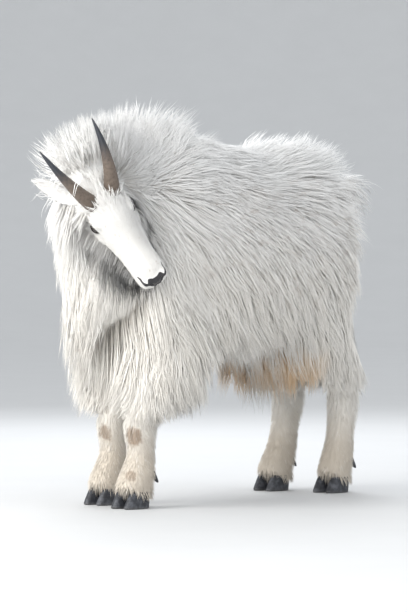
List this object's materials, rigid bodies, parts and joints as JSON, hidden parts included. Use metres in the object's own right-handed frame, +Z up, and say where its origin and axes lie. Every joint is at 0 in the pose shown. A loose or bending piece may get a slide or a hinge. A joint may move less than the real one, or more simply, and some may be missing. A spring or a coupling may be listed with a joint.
{
  "type": "mountain goat",
  "caption": "Life-size standing mountain goat in long winter coat, head turned to its left, for display on a level floor.",
  "frame": {"origin": "centre of the bounding box in plan, at the level floor that the hooves stand on", "axes": "+X is the goat's left, -Y is the way it faces, +Z is up"},
  "size_m": [0.5288, 1.4426, 1.0766],
  "materials": {
    "coat": "long, soft, cream-white hair in overlapping locks",
    "face_hair": "short white hair lying flat",
    "horn": "ringed grey-brown horn with darker, smoother tips",
    "hoof": "worn slate-black horn",
    "eye": "wet, dark brown"
  },
  "bodies": {
    "root": {"dewclaw_fore_left_inner": "hoof", "dewclaw_fore_left_outer": "hoof", "dewclaw_fore_right_inner": "hoof", "dewclaw_fore_right_outer": "hoof", "dewclaw_hind_left_inner": "hoof", "dewclaw_hind_left_outer": "hoof", "dewclaw_hind_right_inner": "hoof", "dewclaw_hind_right_outer": "hoof", "ear_left": "face_hair", "ear_right": "face_hair", "eye_left": "eye", "eye_right": "eye", "foreleg_lower_left": "coat", "foreleg_lower_right": "coat", "foreleg_upper_left": "coat", "foreleg_upper_right": "coat", "head": "face_hair", "hindleg_lower_left": "coat", "hindleg_lower_right": "coat", "hindleg_upper_left": "coat", "hindleg_upper_right": "coat", "hoof_fore_left_inner": "hoof", "hoof_fore_left_outer": "hoof", "hoof_fore_right_inner": "hoof", "hoof_fore_right_outer": "hoof", "hoof_hind_left_inner": "hoof", "hoof_hind_left_outer": "hoof", "hoof_hind_right_inner": "hoof", "hoof_hind_right_outer": "hoof", "horn_left": "horn", "horn_right": "horn", "neck": "coat", "tail": "coat", "torso": "coat"}
  },
  "joints": []
}
